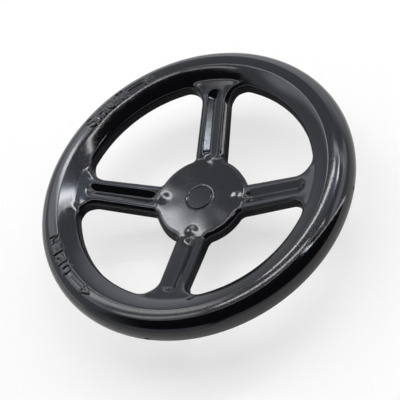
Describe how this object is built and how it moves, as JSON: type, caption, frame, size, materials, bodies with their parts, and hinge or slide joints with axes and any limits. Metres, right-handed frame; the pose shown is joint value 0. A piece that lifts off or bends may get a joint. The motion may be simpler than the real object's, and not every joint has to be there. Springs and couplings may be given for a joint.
{
  "type": "pressed steel handwheel",
  "caption": "Dished pressed-steel handwheel with a rolled tubular rim, grooved spokes, raised open and shut arrows, and a bored boss behind the hub.",
  "frame": {"origin": "centre of the boss's end face, where the wheel seats on its shaft's collar and stands on a table", "axes": "+Z along the wheel's axis, from the boss to the front of the wheel; +X and +Y along two neighbouring spokes, with the word SHUT between +Y and -X and the word OPEN between -X and -Y"},
  "size_m": [0.2, 0.2, 0.0465],
  "materials": {
    "black_gloss_paint": "gloss black baked paint with a slight orange peel"
  },
  "bodies": {
    "root": {"wheel_pressing": "black_gloss_paint", "hub_boss": "black_gloss_paint", "boss_weld": "black_gloss_paint"}
  },
  "joints": []
}
